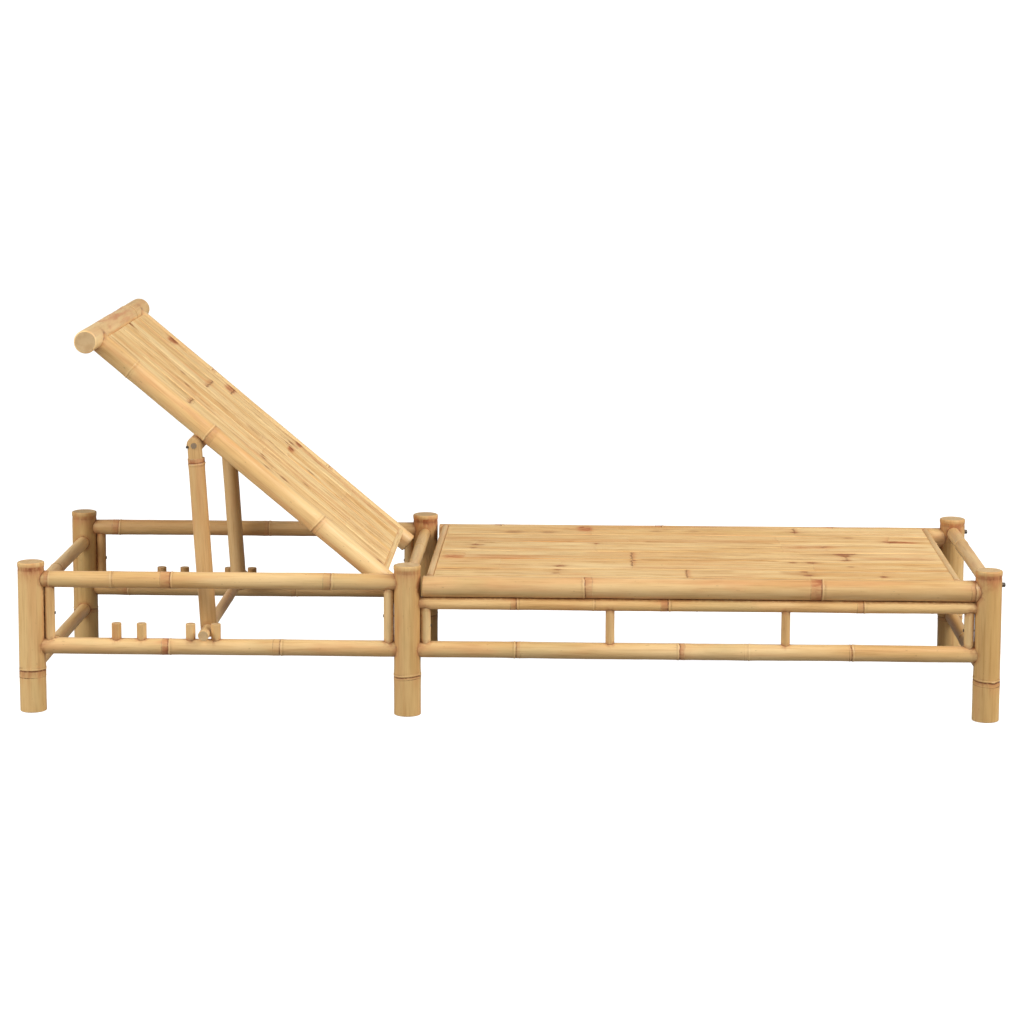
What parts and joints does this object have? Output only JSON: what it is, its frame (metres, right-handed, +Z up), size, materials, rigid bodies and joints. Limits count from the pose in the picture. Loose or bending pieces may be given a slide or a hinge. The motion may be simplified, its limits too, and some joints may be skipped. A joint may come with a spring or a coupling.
{
  "type": "folding recliner",
  "caption": "Low bamboo lounger on round posts: long flat board seat and a hinged backrest held up by a pivoting prop whose foot bar locks between pegs.",
  "frame": {"origin": "on the floor, in the middle of the overall box", "axes": "+X along the length towards the foot end, +Y across the width, +Z up"},
  "size_m": [2.0068, 0.664, 0.789],
  "materials": {
    "post": "clear satin",
    "cane": "clear satin",
    "board": "clear satin",
    "steel": "dull"
  },
  "bodies": {
    "frame": {"cross_foot_low": "cane", "cross_foot_up": "cane", "cross_head_low": "cane", "cross_head_up": "cane", "cross_mid": "cane", "foot_bolts": "steel", "frame_screws": "steel", "pegs_far": "cane", "pegs_near": "cane", "post_foot_far": "post", "post_foot_near": "post", "post_head_far": "post", "post_head_near": "post", "post_mid_far": "post", "post_mid_near": "post", "rail_head_low_far": "cane", "rail_head_low_near": "cane", "rail_head_up_far": "cane", "rail_head_up_near": "cane", "rail_seat_low_far": "cane", "rail_seat_low_near": "cane", "rail_seat_up_far": "cane", "rail_seat_up_near": "cane", "seat_bar_1": "cane", "seat_bar_2": "cane", "seat_bar_3": "cane", "seat_bar_4": "cane", "seat_batten": "cane", "seat_end_rod": "cane", "seat_pole_far": "cane", "seat_pole_near": "cane", "seat_slats": "board", "spindle_far_1": "cane", "spindle_far_2": "cane", "spindle_near_1": "cane", "spindle_near_2": "cane", "strut_foot_far": "cane", "strut_foot_near": "cane", "strut_head_far": "cane", "strut_head_near": "cane", "strut_mid_head_far": "cane", "strut_mid_head_near": "cane", "strut_mid_seat_far": "cane", "strut_mid_seat_near": "cane"},
    "backrest": {"back_bar_1": "cane", "back_bar_2": "cane", "back_bar_3": "cane", "back_batten": "board", "back_pivot_rod": "cane", "back_pole_far": "cane", "back_pole_near": "cane", "back_slats": "board", "carrier_bolts": "steel", "head_dowels": "cane", "head_pole": "post", "prop_carrier": "cane"},
    "prop": {"prop_foot_bar": "cane", "prop_leg_far": "cane", "prop_leg_near": "cane", "prop_leg_screws": "steel"}
  },
  "joints": [
    {"name": "backrest_hinge", "type": "hinge", "parent": "frame", "child": "backrest", "pos_m": [-0.26465, 0, 0.274], "axis": [0, 1, 0], "range_deg": [0, 12.5]},
    {"name": "prop_hinge", "type": "hinge", "parent": "backrest", "child": "prop", "pos_m": [-0.64394, 0, 0.54461], "axis": [0, 1, 0], "range_deg": [-3.5, 0]}
  ],
  "couplings": [
    {"joint": "prop_hinge", "follows": "backrest_hinge", "ratio": -0.26}
  ]
}
